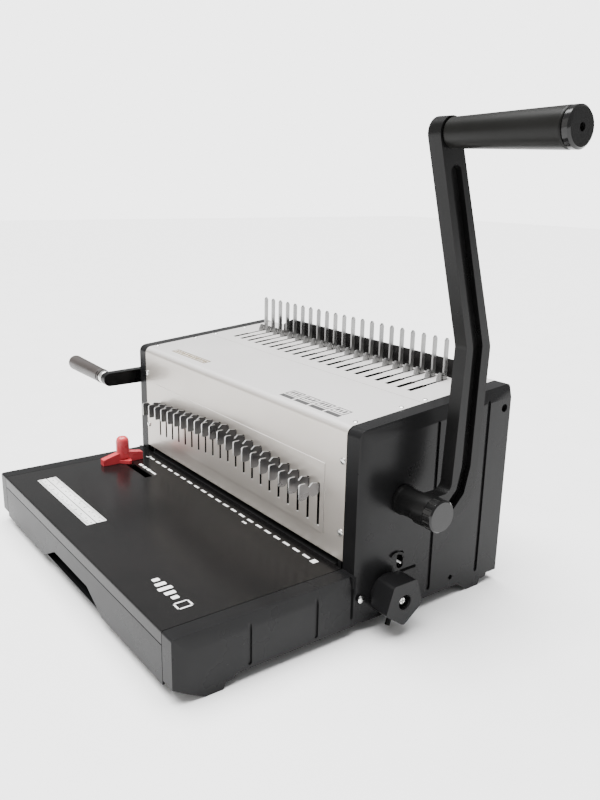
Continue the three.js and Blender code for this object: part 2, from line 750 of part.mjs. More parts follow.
function knobScrew() {
  const floorX = KNOB_END_X - 6 + GAP;
  const head = turned([
    new THREE.Vector2(0, floorX),
    new THREE.Vector2(4.2, floorX),
    new THREE.Vector2(4.2, floorX + 1.2),
    new THREE.Vector2(2.6, floorX + 2.8),
    new THREE.Vector2(0, floorX + 2.8),
  ], KNOB_Y, KNOB_Z, 24);
  const across = box(floorX + 1.6, floorX + 4, KNOB_Y - 2.6, KNOB_Y + 2.6, KNOB_Z - 0.5, KNOB_Z + 0.5);
  const upright = box(floorX + 1.6, floorX + 4, KNOB_Y - 0.5, KNOB_Y + 0.5, KNOB_Z - 2.6, KNOB_Z + 2.6);
  return cut(head, across, upright);
}

function depthStopBar() {
  return box(-150, 150, -117.5, -108.5, DECK_Z + GAP, THROAT_TOP_Z - GAP);
}

function edgeGuide() {
  const right = -148.8;
  const left = right - 8;
  const bottom = DECK_Z + GAP;
  const bar = prism('x', outline([
    [-206, bottom],
    [-160, bottom],
    [-160, bottom + 8.5],
    [-174, 63.5],
    [-189, 63.5],
    [-206, bottom + 6.5],
  ]), left, right);
  const nose = prism('z', outline([
    [right - 1, -189],
    [right + 8, -180],
    [right + 8, -177],
    [right - 1, -174],
  ]), bottom, bottom + 3.5);
  const knob = new THREE.LatheGeometry([
    new THREE.Vector2(0, 58),
    new THREE.Vector2(7.2, 58),
    new THREE.Vector2(7, 76),
    new THREE.Vector2(6.1, 79),
    new THREE.Vector2(4.2, 80.8),
    new THREE.Vector2(0, 81.5),
  ], 28);
  knob.rotateX(Math.PI / 2);
  knob.scale(1, -1, 1);
  knob.index.array.reverse();
  knob.translate(left + 3, -181.5, 0);
  const stem = box(-155.5, -149.5, -182, -176, 46.8, bottom + 1);
  return join(bar, nose, solid(knob), stem);
}

function guideClamp() {
  const plate = box(-163, -142, -189, -169, 47.6, DECK_Z - SHEET - GAP);
  return cut(plate, box(-155.8, -149.2, -182.3, -175.7, 46, 53));
}

// --------------------------------------------------------------- return spring

class Helix extends THREE.Curve {
  constructor(x, y, radius, zLow, zHigh, turns) {
    super();
    Object.assign(this, { x, y, radius, zLow, zHigh, turns });
  }

  getPoint(t, target = new THREE.Vector3()) {
    const angle = 2 * Math.PI * this.turns * t;
    return target.set(
      this.x + this.radius * Math.cos(angle),
      this.y + this.radius * Math.sin(angle),
      this.zLow + (this.zHigh - this.zLow) * t,
    );
  }
}

function returnSpring(x) {
  const wire = new THREE.Shape();
  wire.absarc(0, 0, 0.8, 0, 2 * Math.PI, false);
  const geometry = new THREE.ExtrudeGeometry(wire, {
    curveSegments: 3,
    steps: 63,
    extrudePath: new Helix(x, -122, 4.4, BEAM_TOP_Z + 1.3, SPRING_TOP_Z - 0.9, 7),
  });
  return solid(geometry);
}

// ------------------------------------------------------------------- assembly

add('base_pan', basePan(), 'zinc');
add('frame_plate_right', framePlateRight(), 'zinc');
add('frame_plate_left', mirrorX(framePlate()), 'zinc');
add('deck_plate', deckPlate(), 'blackSheet');
add('die_plate', diePlate(), 'steel');
add('punch_guide', punchGuide(), 'steel');
add('chip_tray', chipTray(), 'blackPlastic');

add('front_cover', frontCover(), 'silver');
add('top_cover', topCover(), 'silver');
add('rear_panel', rearPanel(), 'blackSheet');
add('side_cover_right', sideCoverRight(), 'blackPlastic');
add('side_cover_left', sideCoverLeft(), 'blackPlastic');
add('base_cover_right', baseCover(), 'blackPlastic');
add('base_cover_left', mirrorX(baseCover()), 'blackPlastic');

add('punch_beam', punchBeam(), 'steel');
add('punch_set', punchSet(), 'steel');
eachHole((x, i) => add(`punch_tab_${String(i + 1).padStart(2, '0')}`, pullTab(x, i), 'steel'));
add('return_spring_right', returnSpring(150), 'steel');
add('return_spring_left', returnSpring(-150), 'steel');

add('main_shaft', barX(SHAFT_R, -171, ARM_X + ARM_T - GAP, SHAFT_Y, SHAFT_Z, 32), 'steel');
add('crank_right', crank(), 'zinc');
add('crank_left', mirrorX(crank()), 'zinc');
add('lever_hub', leverHub(), 'blackCast');
add('lever_arm', leverArm(), 'blackCast');
add('hub_cap', hubCap(), 'blackPlastic');
add('grip_sleeve', gripSleeve(), 'rubber');
add('grip_end_cap', gripEndCap(), 'rubber');

add('comb_pin_rail', combPinRail(), 'steel');
add('rest_plate', restPlate(), 'blackSheet');
add('hook_carriage', hookCarriage(), 'zinc');
add('opener_shaft', barX(OPENER_R, OPENER_ARM_X - OPENER_ARM_T + GAP, 171, OPENER_Y, OPENER_Z, 28), 'steel');
add('opener_crank_right', openerCrank(), 'zinc');
add('opener_crank_left', mirrorX(openerCrank()), 'zinc');
add('opener_arm', openerArm(), 'blackCast');
add('opener_grip', openerGrip(), 'rubber');

add('depth_knob', depthKnob(), 'blackPlastic');
add('knob_screw', knobScrew(), 'zinc');
add('depth_stop_bar', depthStopBar(), 'steel');
add('edge_guide', edgeGuide(), 'red');
add('edge_guide_clamp', guideClamp(), 'zinc');

machine.position.set(-(GRIP_END_X + OPENER_TIP_X) / 2, -(FRONT_Y + REAR_Y) / 2, 0);

const combBindingMachine = new THREE.Group();
combBindingMachine.add(machine);

export default combBindingMachine;
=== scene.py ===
"""Looks of the comb binding machine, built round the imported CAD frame.

Lengths are in millimetres, until at() turns a point of the machine into the frame's metres.
"""

import math

import bmesh
import bpy
from mathutils import Matrix, Vector


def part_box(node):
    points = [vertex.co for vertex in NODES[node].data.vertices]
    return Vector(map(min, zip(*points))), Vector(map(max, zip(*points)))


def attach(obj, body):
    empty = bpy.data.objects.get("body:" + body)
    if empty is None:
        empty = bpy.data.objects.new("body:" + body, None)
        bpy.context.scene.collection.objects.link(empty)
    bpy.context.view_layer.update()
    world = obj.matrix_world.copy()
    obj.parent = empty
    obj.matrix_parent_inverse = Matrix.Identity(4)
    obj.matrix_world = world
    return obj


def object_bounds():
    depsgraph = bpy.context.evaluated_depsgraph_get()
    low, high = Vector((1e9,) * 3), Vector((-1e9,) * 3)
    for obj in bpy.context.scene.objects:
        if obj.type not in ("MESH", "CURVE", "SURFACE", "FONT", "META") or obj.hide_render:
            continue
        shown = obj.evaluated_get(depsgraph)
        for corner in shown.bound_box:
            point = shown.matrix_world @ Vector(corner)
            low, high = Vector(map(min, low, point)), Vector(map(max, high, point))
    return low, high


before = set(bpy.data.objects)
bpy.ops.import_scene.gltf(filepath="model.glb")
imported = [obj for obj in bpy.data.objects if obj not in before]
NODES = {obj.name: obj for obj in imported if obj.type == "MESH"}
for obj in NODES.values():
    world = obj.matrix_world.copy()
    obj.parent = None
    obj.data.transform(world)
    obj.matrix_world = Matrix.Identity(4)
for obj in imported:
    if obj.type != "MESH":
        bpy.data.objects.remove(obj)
cad_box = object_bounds()

MM = 0.001
cover_low, cover_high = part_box("front_cover")
MID_X = (cover_low.x + cover_high.x) / 2
REAR_Y = 32
ORIGIN_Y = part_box("side_cover_right")[1].y - REAR_Y * MM
DECK_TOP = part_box("deck_plate")[1].z / MM
SIDE_X = (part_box("side_cover_right")[1].x - MID_X) / MM
FACE_Y = (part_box("side_cover_right")[0].y - ORIGIN_Y) / MM + 3.3
TOP_REAR_Z = 187.4
TOP_SLOPE = 0.0886

HOLES = 21
HOLE_PITCH = 14.2875
FIRST_HOLE = -(HOLES - 1) / 2 * HOLE_PITCH

# Edges sharper than this many degrees stay crisp.
CREASE = 35

# Case screws: places on the top, the face, the base covers and the rear panel.
TOP_SCREW_X = 171
TOP_SCREW_ROWS = ((1, (-128, -79, -52, 14)), (-1, (-127, -79, -52, -12)))
FACE_SCREWS = ((172, 143.6), (172, 82.8), (-172, 143.8), (-172, 83.8))
BASE_SCREW_Y, BASE_SCREW_Z = -134.2, 30.7
REAR_SCREW_Y = 30.75
REAR_SCREW_XS = (-160, -55, 55, 160)
REAR_SCREW_ZS = (20, 140)

# Printing on the deck: the row of dashes under the face, the ruler and the size mark.
DASH_Y0, DASH_Y1 = -152.4, -150.0
DASH_HALF_L = 4.3
RULER_X0, RULER_X1 = -148, -17
RULER_FRONT_Y, RULER_REAR_Y = -278.3, -259
RULER_TICKS = 43
RULER_STEP = 3
MARK_X, MARK_Y = 106, -272.5
MARK_BARS = (6, 9, 12, 9, 6)

# Printing on the top: the bordered sticker on the left and the four marks on the right.
STICKER = (-138, -68, -127, -118.5)
TOP_MARK_X = 71
TOP_MARK_STEP = 21
TOP_MARKS = 4

# The hook at the foot of each pin: x and z spans of its four bars, its y and its depth.
HOOK_BARS = ((-2.5, -1.3, 0, 5.2), (1.3, 2.5, 0, 5.2), (-2.5, 2.5, 4.0, 5.4), (-2.5, 2.5, 0, 0.9))
HOOK_Y = -4.1
HOOK_DEPTH = 0.9

# Light levels: the room as the surfaces see it, the backdrop as the camera sees it, and the two suns.
ROOM_LEVEL = 0.5
BACKDROP_LEVEL = 4.0
OVERHEAD_POWER = 12
FILL_POWER = 1.0
SUN_SPREAD = 60
FLOOR_HALF = 6.0

CAMERA_AT = (616.19, -515.76, 354.06)
CAMERA_TURN = 0.9285
CAMERA_LIFT = 0.2714
CAMERA_ROLL = 0.0214
CAMERA_LENS = 35.393


def at(x, y, z):
    """A point of the machine, with x from the middle of the punch row and y from the row of pins."""
    return Vector((MID_X + x * MM, ORIGIN_Y + y * MM, z * MM))


def top_at(y):
    """Height of the sloping top at y."""
    return TOP_REAR_Z - TOP_SLOPE * (REAR_Y - y)


# ------------------------------------------------------------------ materials


class Paint:
    """A procedural material: two close tones, uneven roughness and a fine relief, all in object space."""

    def __init__(self, name, tones, rough, metallic=0.0):
        self.material = bpy.data.materials.new(name)
        self.material.use_nodes = True
        self.tree = self.material.node_tree
        self.bsdf = self.tree.nodes["Principled BSDF"]
        self.bsdf.inputs["Metallic"].default_value = metallic
        self.coords = self.tree.nodes.new("ShaderNodeTexCoord")
        self.colour = self.cloud(tones, 14, 3)
        self.link(self.colour, self.bsdf.inputs["Base Color"])
        self.rough(rough)
        self.normal = None

    def link(self, a, b):
        self.tree.links.new(a, b)

    def node(self, kind, **inputs):
        made = self.tree.nodes.new("ShaderNode" + kind)
        for key, value in inputs.items():
            made.inputs[key.replace("_", " ")].default_value = value
        return made

    def stretch(self, scale):
        mapping = self.node("Mapping", Scale=scale)
        self.link(self.coords.outputs["Object"], mapping.inputs["Vector"])
        return mapping.outputs["Vector"]

    def noise(self, scale, detail=2, stretch=(1, 1, 1)):
        noise = self.node("TexNoise", Scale=scale, Detail=detail)
        self.link(self.stretch(stretch), noise.inputs["Vector"])
        return noise.outputs["Fac"]

    def ramp(self, fac, stops):
        ramp = self.tree.nodes.new("ShaderNodeValToRGB")
        elements = ramp.color_ramp.elements
        while len(elements) < len(stops):
            elements.new(0.5)
        for element, (place, colour) in zip(elements, stops):
            element.position = place
            element.color = (*colour, 1)
        self.link(fac, ramp.inputs["Fac"])
        return ramp.outputs["Color"]

    def cloud(self, tones, scale, detail):
        return self.ramp(self.noise(scale, detail), [(0.35, tones[0]), (0.65, tones[1])])

    def spread(self, fac, low, high, start=0.3, end=0.7):
        span = self.tree.nodes.new("ShaderNodeMapRange")
        for key, value in (("From Min", start), ("From Max", end), ("To Min", low), ("To Max", high)):
            span.inputs[key].default_value = value
        self.link(fac, span.inputs["Value"])
        return span.outputs["Result"]

    def rough(self, span, scale=22, stretch=(1, 1, 1)):
        self.link(self.spread(self.noise(scale, 4, stretch), *span), self.bsdf.inputs["Roughness"])

    def specular(self, level):
        self.bsdf.inputs["Specular IOR Level"].default_value = level
        return self

    def specular_by(self, fac, *span):
        self.link(self.spread(fac, *span), self.bsdf.inputs["Specular IOR Level"])
        return self

    def relief(self, scale, height, strength=0.3, stretch=(1, 1, 1), detail=3):
        bump = self.node("Bump", Strength=strength, Distance=height * MM)
        self.link(self.noise(scale, detail, stretch), bump.inputs["Height"])
        if self.normal:
            self.link(self.normal, bump.inputs["Normal"])
        self.normal = bump.outputs["Normal"]
        self.link(self.normal, self.bsdf.inputs["Normal"])
        return self

    def tint(self, fac, colour, strength=1.0):
        """Mixes colour over the base where fac is high."""
        mix = self.tree.nodes.new("ShaderNodeMix")
        mix.data_type = "RGBA"
        sockets = [s for s in mix.inputs if s.type == "RGBA"]
        self.link(self.spread(fac, 0, strength, 0, 1), mix.inputs[0])
        self.link(self.colour, sockets[0])
        sockets[1].default_value = (*colour, 1)
        self.colour = [s for s in mix.outputs if s.type == "RGBA"][0]
        self.link(self.colour, self.bsdf.inputs["Base Color"])
        return self

    def axis(self, source, index):
        """The size of one component of an object-space vector."""
        split = self.tree.nodes.new("ShaderNodeSeparateXYZ")
        self.link(self.coords.outputs[source], split.inputs[0])
        size = self.tree.nodes.new("ShaderNodeMath")
        size.operation = "ABSOLUTE"
        self.link(split.outputs[index], size.inputs[0])
        return size.outputs[0]

    def upper_faces(self, colour, metallic_side, metallic_top):
        """Upward faces take a lighter tone, painted light from above on the one paint, and reflect less
        like bare metal than the upright ones.
        """
        upward = self.spread(self.axis("Normal", 2), 0, 1, 0.3, 0.9)
        self.tint(upward, colour)
        self.link(self.spread(upward, metallic_side, metallic_top, 0, 1), self.bsdf.inputs["Metallic"])

    def coat(self, weight, roughness):
        self.bsdf.inputs["Coat Weight"].default_value = weight
        self.bsdf.inputs["Coat Roughness"].default_value = roughness
        return self


def paints():
    silver = Paint("silver_paint", ((0.47, 0.435, 0.395), (0.50, 0.465, 0.425)), (0.30, 0.36))
    # Painted light: the upward faces of the silver cover are painted a lighter tone than the upright ones.
    silver.upper_faces((0.60, 0.585, 0.575), 0.62, 0.12)
    # Painted shade: faces turned sideways, such as the walls of the tab slots, are painted near black.
    silver.tint(silver.spread(silver.axis("Normal", 0), 0, 1, 0.8, 0.95), (0.008, 0.008, 0.008))
    silver.relief(1400, 0.01, 0.08).coat(0.4, 0.07)
    plastic = Paint("moulded_black", ((0.006, 0.006, 0.0063), (0.009, 0.009, 0.0094)), (0.26, 0.30))
    plastic.relief(900, 0.012, 0.08).specular_by(plastic.axis("Normal", 1), 0.14, 0.07, 0.8, 0.95)
    tray = Paint("tray_black", ((0.006, 0.006, 0.0063), (0.009, 0.009, 0.0094)), (0.26, 0.30))
    tray.relief(900, 0.012, 0.08).specular_by(tray.axis("Generated", 2), 0.07, 0.0, 0.97, 0.985)
    sheet = Paint("black_powder_coat", ((0.004, 0.004, 0.004), (0.006, 0.0055, 0.0055)), (0.22, 0.26))
    sheet.relief(900, 0.01, 0.05).specular_by(sheet.axis("Normal", 1), 0.3, 0.11, 0.8, 0.95)
    zinc = Paint("zinc_plate", ((0.62, 0.62, 0.60), (0.74, 0.74, 0.73)), (0.18, 0.34), 1.0)
    zinc.relief(400, 0.02, 0.15)
    steel = Paint("ground_steel", ((0.52, 0.52, 0.51), (0.66, 0.66, 0.65)), (0.22, 0.36), 1.0)
    steel.relief(900, 0.02, 0.2, (0.15, 1, 1))
    # Painted shade: steel in the throat gap and inside the case is painted near black for the shade it sits
    # in.
    oxide = Paint("steel_painted_shade", ((0.012, 0.012, 0.012), (0.02, 0.02, 0.02)), (0.4, 0.5), 0.3)
    oxide.relief(900, 0.02, 0.2)
    pins = Paint("bright_pin_steel", ((0.20, 0.20, 0.20), (0.30, 0.30, 0.295)), (0.24, 0.34), 0.8)
    pins.relief(700, 0.02, 0.2, (1, 1, 0.08))
    tabs = Paint("sheared_strip_painted_edge_light", ((0.60, 0.60, 0.59), (0.72, 0.72, 0.71)), (0.24, 0.38), 0.9)
    # Painted light: the faces turned sideways are painted darker grey, so the edges stand out as painted
    # highlights.
    tabs.tint(tabs.spread(tabs.axis("Normal", 0), 0, 1, 0.75, 0.95), (0.2, 0.2, 0.205), 1.0)
    tabs.relief(800, 0.02, 0.2)
    lever = Paint("lever_black", ((0.003, 0.003, 0.003), (0.005, 0.005, 0.005)), (0.24, 0.36))
    lever.relief(1700, 0.02, 0.18).specular(0.14)
    grip = Paint("grip_black", ((0.003, 0.003, 0.0025), (0.005, 0.005, 0.0045)), (0.34, 0.44))
    grip.relief(1500, 0.02, 0.2).specular(0.14)
    brown = Paint("opener_grip_grey", ((0.022, 0.018, 0.016), (0.034, 0.028, 0.026)), (0.34, 0.46))
    brown.relief(1200, 0.03, 0.3)
    mirror = Paint("cap_gloss", ((0.004, 0.004, 0.004), (0.007, 0.007, 0.007)), (0.12, 0.2))
    mirror.relief(60, 0.05, 0.04).specular(0.3)
    red = Paint("red_plastic", ((0.44, 0.035, 0.045), (0.52, 0.05, 0.06)), (0.24, 0.34))
    red.relief(900, 0.02, 0.15)
    ink = Paint("white_ink", ((0.68, 0.68, 0.67), (0.82, 0.82, 0.81)), (0.35, 0.5))
    ink.relief(3000, 0.01, 0.2)
    grey_ink = Paint("grey_ink", ((0.03, 0.03, 0.03), (0.045, 0.045, 0.045)), (0.4, 0.5))
    grey_ink.relief(3000, 0.01, 0.2)
    label = Paint("label_film", ((0.54, 0.52, 0.48), (0.58, 0.56, 0.52)), (0.22, 0.3))
    label.relief(500, 0.01, 0.1)
    gold = Paint("gold_ink", ((0.09, 0.05, 0.001), (0.12, 0.07, 0.002)), (0.35, 0.45))
    gold.relief(3000, 0.01, 0.2)
    # Painted shade: near black with no specular, for the sheets that stand in for the shade in slot
    # openings.
    dark = Paint("painted_gap_shade", ((0.004, 0.004, 0.004), (0.007, 0.007, 0.007)), (0.5, 0.7))
    dark.relief(600, 0.02, 0.2).specular(0.0)
    return locals()


M = {name: paint.material for name, paint in paints().items()}

DRESS = {
    "silver": ["front_cover", "top_cover"],
    "plastic": [
        "side_cover_right", "side_cover_left", "base_cover_right", "base_cover_left", "depth_knob",
    ],
    "tray": ["chip_tray"],
    "sheet": ["deck_plate", "rear_panel", "rest_plate"],
    "zinc": [
        "crank_right", "crank_left", "opener_crank_right", "opener_crank_left",
        "edge_guide_clamp", "knob_screw",
    ],
    "steel": ["punch_set", "return_spring_right", "return_spring_left", "main_shaft", "opener_shaft"],
    "oxide": [
        "die_plate", "punch_guide", "punch_beam", "depth_stop_bar",
        "frame_plate_right", "frame_plate_left", "base_pan",
    ],
    "pins": ["comb_pin_rail", "hook_carriage"],
    "lever": ["lever_hub", "lever_arm", "opener_arm"],
    "mirror": ["hub_cap", "grip_end_cap"],
    "grip": ["grip_sleeve"],
    "brown": ["opener_grip"],
    "red": ["edge_guide"],
    "tabs": [name for name in NODES if name.startswith("punch_tab")],
}

BEVELS = {
    "side_cover_right": 0.7, "side_cover_left": 0.7, "base_cover_right": 0.7, "base_cover_left": 0.7,
    "depth_knob": 0.5, "lever_arm": 0.9, "opener_arm": 0.9, "edge_guide": 0.6, "chip_tray": 0.5,
    "grip_sleeve": 0.3, "lever_hub": 0.3, "front_cover": 0.3,
}


def dress(obj, material):
    obj.data.materials.clear()
    obj.data.materials.append(material)


def soften(obj, width):
    """Rounds the sharp edges by a small radius and shades the curved faces smoothly."""
    weld = obj.modifiers.new("weld", "WELD")
    weld.merge_threshold = 2e-6
    if width:
        bevel = obj.modifiers.new("edge_radius", "BEVEL")
        bevel.width = width * MM
        bevel.segments = 2
        bevel.limit_method = "ANGLE"
        bevel.angle_limit = math.radians(CREASE)
    smooth(obj, 180)
    split = obj.modifiers.new("crisp_edges", "EDGE_SPLIT")
    split.split_angle = math.radians(CREASE)
    flat = obj.modifiers.new("flat_faces", "WEIGHTED_NORMAL")
    flat.keep_sharp = True
    flat.weight = 100


def smooth(obj, angle=CREASE):
    """Smooth shading, except across edges sharper than angle."""
    mesh = obj.data
    custom = mesh.attributes.get("custom_normal")
    if custom:
        mesh.attributes.remove(custom)
    mesh.polygons.foreach_set("use_smooth", [True] * len(mesh.polygons))
    mesh.set_sharp_from_angle(angle=math.radians(angle))


for key, names in DRESS.items():
    for name in names:
        dress(NODES[name], M[key])
        soften(NODES[name], BEVELS.get(name, 0))


# ------------------------------------------------------------------ new pieces


def piece(name, bm, material, body, slot=None):
    """Makes a bmesh into a named object that rides on a body of the machine."""
    bmesh.ops.remove_doubles(bm, verts=bm.verts, dist=1e-7)
    bmesh.ops.recalc_face_normals(bm, faces=bm.faces)
    mesh = bpy.data.meshes.new(name)
    bm.to_mesh(mesh)
    bm.free()
    obj = bpy.data.objects.new(name, mesh)
    bpy.context.scene.collection.objects.link(obj)
    dress(obj, material)
    smooth(obj)
    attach(obj, body)
    return obj


def slab(bm, outline, base, rise):
    """A thin plate: outline is a ring of points, lifted by the vector rise."""
    low = [bm.verts.new(p + base) for p in outline]
    high = [bm.verts.new(p + base + rise) for p in outline]
    count = len(outline)
    bm.faces.new(high)
    bm.faces.new(list(reversed(low)))
    for i in range(count):
        j = (i + 1) % count
        bm.faces.new((low[i], low[j], high[j], high[i]))


def rounded(x0, x1, y0, y1, radius, steps=4):
    """Corner-rounded rectangle as (x, y) pairs."""
    ring = []
    for cx, cy, start in ((x1, y1, 0), (x0, y1, 90), (x0, y0, 180), (x1, y0, 270)):
        mx = cx - radius if cx == x1 else cx + radius
        my = cy - radius if cy == y1 else cy + radius
        for k in range(steps + 1):
            a = math.radians(start + 90 * k / steps)
            ring.append((mx + radius * math.cos(a), my + radius * math.sin(a)))
    return ring


def border(x0, x1, y0, y1, upright, level):
    """The four strips of a rectangular outline, as (x0, x1, y0, y1)."""
    return (
        (x0, x1, y0, y0 + level), (x0, x1, y1 - level, y1),
        (x0, x0 + upright, y0, y1), (x1 - upright, x1, y0, y1),
    )


def on_deck(bm, x0, x1, y0, y1, radius=0.3, lift=0.02, thick=0.06):
    """A rounded patch of print or film on the deck."""
    points = [at(x, y, DECK_TOP + lift) for x, y in rounded(x0, x1, y0, y1, radius)]
    slab(bm, points, Vector(), Vector((0, 0, thick * MM)))


def on_top(bm, x0, x1, y0, y1, radius=0.3, lift=0.02, thick=0.08):
    """A rounded patch of print or film on the sloping top."""
    points = [at(x, y, top_at(y) + lift) for x, y in rounded(x0, x1, y0, y1, radius)]
    slab(bm, points, Vector(), Vector((0, 0, thick * MM)))


def lathe(bm, profile, centre, direction, sides=32):
    """Turns (radius, height) points about a line through centre along direction."""
    turn = Vector((0, 0, 1)).rotation_difference(direction).to_matrix()
    rings = []
    for radius, height in profile:
        ring = []
        count = 1 if radius < 1e-6 else sides
        for k in range(count):
            a = 2 * math.pi * k / sides
            local = Vector((radius * MM * math.cos(a), radius * MM * math.sin(a), height * MM))
            ring.append(bm.verts.new(centre + turn @ local))
        rings.append(ring)
    for low, high in zip(rings, rings[1:]):
        for k in range(sides):
            after = k + 1
            corners = (
                low[k % len(low)], low[after % len(low)],
                high[after % len(high)], high[k % len(high)],
            )
            distinct = list(dict.fromkeys(corners))
            if len(distinct) > 2:
                bm.faces.new(distinct)


def screw(bm, centre, direction, radius=3.0, height=1.6):
    """Domed screw head with a cross recess."""
    profile = [(radius, 0.0)]
    for k in range(1, 5):
        a = math.radians(18 * k)
        profile.append((radius * math.cos(a), height * (0.25 + 0.75 * math.sin(a))))
    profile += [(radius * 0.22, height), (radius * 0.16, height * 0.55), (0, height * 0.5)]
    lathe(bm, profile, centre, direction, 24)


UP = Vector((0, -TOP_SLOPE, 1)).normalized()
RIGHT = Vector((1, 0, 0))
LEFT = Vector((-1, 0, 0))
FRONT = Vector((0, -1, 0))
REAR = Vector((0, 1, 0))


def screws():
    bm = bmesh.new()
    for side, rows in TOP_SCREW_ROWS:
        for y in rows:
            screw(bm, at(side * TOP_SCREW_X, y, top_at(y)), UP, 2.2, 1.1)
    for x, z in FACE_SCREWS:
        screw(bm, at(x, FACE_Y, z), FRONT, 3.0, 1.7)
    for x, outward in ((SIDE_X, RIGHT), (-SIDE_X, LEFT)):
        screw(bm, at(x, BASE_SCREW_Y, BASE_SCREW_Z), outward, 3.4, 1.8)
    for x in REAR_SCREW_XS:
        for z in REAR_SCREW_ZS:
            screw(bm, at(x, REAR_SCREW_Y, z), REAR, 2.6, 1.2)
    return piece("case_screws", bm, M["zinc"], "frame", "zinc_plated")


def deck_marks():
    """A dash for each hole, with small marks at the row's ends, in front of it and by the guide's slot."""
    bm = bmesh.new()
    for k in range(HOLES):
        x = FIRST_HOLE + HOLE_PITCH * k - 0.8
        on_deck(bm, x - DASH_HALF_L, x + DASH_HALF_L, DASH_Y0, DASH_Y1)
    on_deck(bm, -154.5, -150.5, -153.6, -152.4, 0.2)
    on_deck(bm, -151.7, -150.5, -153.6, -148.6, 0.2)
    on_deck(bm, 150.2, 155.8, -154.2, -148.4)
    on_deck(bm, 53.5, 55.5, -158.8, -156.6, 0.2)
    on_deck(bm, 56.4, 59.6, -158.8, -156.6, 0.2)
    for x in (-136, -127, -118):
        on_deck(bm, x, x + 6.5, -171.5, -168.3, 0.6)
    on_deck(bm, -110, -98, -171, -169, 0.3)
    return piece("deck_marks", bm, M["ink"], "frame")


def deck_pictogram():
    """A generic size mark in place of lettering: five bars of rising length and a sheet outline."""
    bm = bmesh.new()
    for k, length in enumerate(MARK_BARS):
        x = MARK_X + k * 8
        on_deck(bm, x, x + 4.6, MARK_Y - length / 2, MARK_Y + length / 2, 0.9)
    for strip in border(MARK_X + 42, MARK_X + 52, MARK_Y - 6.5, MARK_Y + 6.5, 1.4, 1.4):
        on_deck(bm, *strip, 0.3)
    return piece("deck_pictogram", bm, M["ink"], "frame")


def ruler():
    """Two white strips side by side, with ticks along both outer edges and small marks between them."""
    bm = bmesh.new()
    on_deck(bm, RULER_X0, RULER_X1, RULER_FRONT_Y, RULER_FRONT_Y + 8.9, 0.8, 0.02, 0.1)
    on_deck(bm, RULER_X0, RULER_X1, RULER_REAR_Y - 9.6, RULER_REAR_Y, 0.8, 0.02, 0.1)
    base = piece("ruler_sticker", bm, M["ink"], "frame")
    bm = bmesh.new()
    front, rear = RULER_FRONT_Y + 0.4, RULER_REAR_Y - 0.4
    for k in range(RULER_TICKS):
        x = RULER_X0 + 2 + RULER_STEP * k
        length = 4.4 if k % 5 == 0 else 2.6
        on_deck(bm, x - 0.45, x + 0.45, rear - length, rear, 0.05, 0.13, 0.03)
        on_deck(bm, x - 0.45, x + 0.45, front, front + length, 0.05, 0.13, 0.03)
        if k % 4 == 2:
            on_deck(bm, x - 0.8, x + 0.8, -265.5, -264.2, 0.3, 0.13, 0.03)
            on_deck(bm, x - 0.8, x + 0.8, -273.5, -272.2, 0.3, 0.13, 0.03)
    ticks = piece("ruler_ticks", bm, M["grey_ink"], "frame")
    return base, ticks


def top_labels():
    """A bordered sticker with a row of plain strokes, and four outlined marks over a broken bar."""
    bm = bmesh.new()
    on_top(bm, *STICKER, 0.8)
    film = piece("top_sticker", bm, M["label"], "frame")
    bm = bmesh.new()
    for strip in border(*STICKER, 1.3, 1.3):
        on_top(bm, *strip, 0.2, 0.11, 0.03)
    for k in range(13):
        x = STICKER[0] + 4 + 5 * k
        tall = (k * 7) % 3
        on_top(bm, x, x + 2.0, -124.9 + 0.6 * tall, -120.6, 0.4, 0.11, 0.03)
        on_top(bm, x + 2.4, x + 4.0, -124.4, -122.2 + 0.5 * tall, 0.4, 0.11, 0.03)
    strokes = piece("top_sticker_print", bm, M["gold"], "frame")
    bm = bmesh.new()
    for k in range(TOP_MARKS):
        x = TOP_MARK_X + TOP_MARK_STEP * k
        on_top(bm, x, x + 18.5, -131, -126.2, 0.3)
        for strip in border(x, x + 18, -124.6, -114.4, 1.2, 1.0):
            on_top(bm, *strip, 0.2, 0.02, 0.05)
        for n in range(3):
            left = x + 3 + 4.6 * n
            on_top(bm, left, left + 2.6, -121.6, -116.6 - (n * k) % 2, 0.3, 0.02, 0.05)
    marks = piece("top_print", bm, M["grey_ink"], "frame")
    return film, strokes, marks


